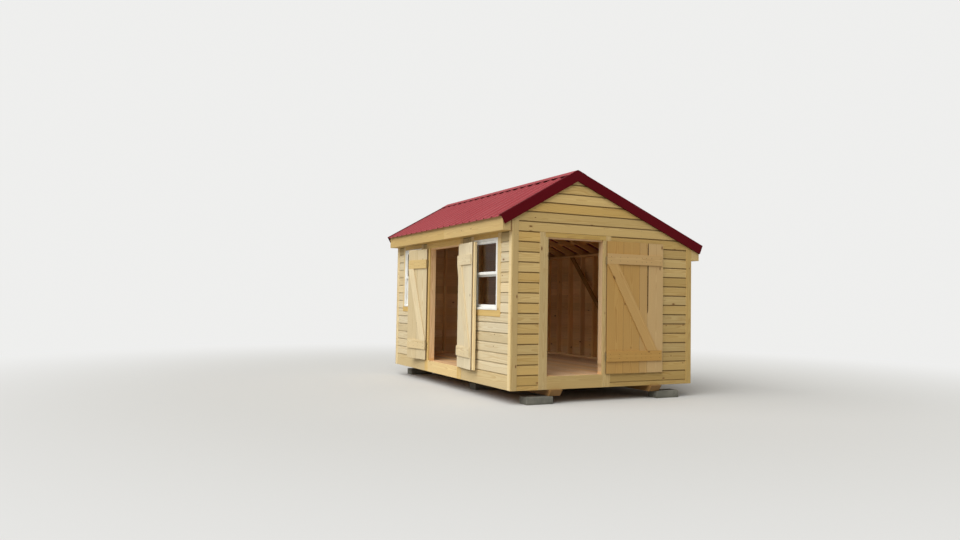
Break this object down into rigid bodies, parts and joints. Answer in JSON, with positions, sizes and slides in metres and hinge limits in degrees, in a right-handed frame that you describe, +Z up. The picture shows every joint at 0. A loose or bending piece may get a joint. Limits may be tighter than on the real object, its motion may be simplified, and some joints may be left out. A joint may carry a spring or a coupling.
{
  "type": "ice fishing hut",
  "caption": "Small pine hut on skids and concrete blocks, with a ribbed metal roof of unequal pitch, vinyl windows and ledged plank doors that swing.",
  "frame": {"origin": "centre of the plan of the whole hut, at the undersides of the concrete blocks", "axes": "+Z up, +X towards the gable with the door, -Y towards the long front wall with the double doors"},
  "size_m": [4.46, 3.4586, 3.193],
  "materials": {
    "pine_siding": "satin",
    "pine_trim": "satin",
    "pine_door": "satin",
    "framing_lumber": "matte",
    "floor_boards": "matte",
    "roof_metal": "satin",
    "roof_trim_metal": "satin",
    "white_vinyl": "satin",
    "window_glass": "gloss",
    "hinge_steel": "matte",
    "latch_metal": "satin",
    "concrete": "matte"
  },
  "bodies": {
    "hut": {"concrete_blocks": "concrete", "skids": "framing_lumber", "floor_joists": "framing_lumber", "floor_planks": "floor_boards", "long_wall_plates": "framing_lumber", "gable_plates": "framing_lumber", "long_wall_studs": "framing_lumber", "gable_studs": "framing_lumber", "wall_headers": "framing_lumber", "rear_wall_brace": "framing_lumber", "rear_siding": "pine_siding", "far_gable_siding": "pine_siding", "near_gable_side_siding": "pine_siding", "near_gable_top_siding": "pine_siding", "front_side_siding": "pine_siding", "front_top_siding": "pine_siding", "corner_boards": "pine_trim", "door_casings": "pine_trim", "door_heads_and_sills": "pine_trim", "window_trims": "pine_trim", "window_frames": "white_vinyl", "window_sashes": "white_vinyl", "window_glass": "window_glass", "ridge_board": "framing_lumber", "rafters": "framing_lumber", "purlins": "framing_lumber", "front_roof_sheet": "roof_metal", "rear_roof_sheet": "roof_metal", "ridge_cap": "roof_trim_metal", "rake_trims": "roof_trim_metal", "fascias": "pine_trim", "soffits": "pine_trim", "eave_end_caps": "pine_trim", "hinge_plates": "hinge_steel"},
    "gable_door": {"gable_door_boards": "pine_door", "gable_door_ledges": "pine_door", "gable_door_hinges": "hinge_steel"},
    "left_door": {"left_door_boards": "pine_door", "left_door_ledges": "pine_door", "left_door_hinges": "hinge_steel"},
    "right_door": {"right_door_boards": "pine_door", "right_door_ledges": "pine_door", "right_door_hinges": "hinge_steel", "right_door_strip": "pine_trim", "right_door_latch": "latch_metal"}
  },
  "joints": [
    {"name": "gable_door_hinge", "type": "hinge", "parent": "hut", "child": "gable_door", "pos_m": [2.203, -0.034, 1.29], "axis": [0, 0, 1], "range_deg": [-180, 0]},
    {"name": "left_door_hinge", "type": "hinge", "parent": "hut", "child": "left_door", "pos_m": [-0.685, -1.558, 1.29], "axis": [0, 0, -1], "range_deg": [-171, 5]},
    {"name": "right_door_hinge", "type": "hinge", "parent": "hut", "child": "right_door", "pos_m": [0.545, -1.558, 1.29], "axis": [0, 0, 1], "range_deg": [-174, 0]}
  ]
}
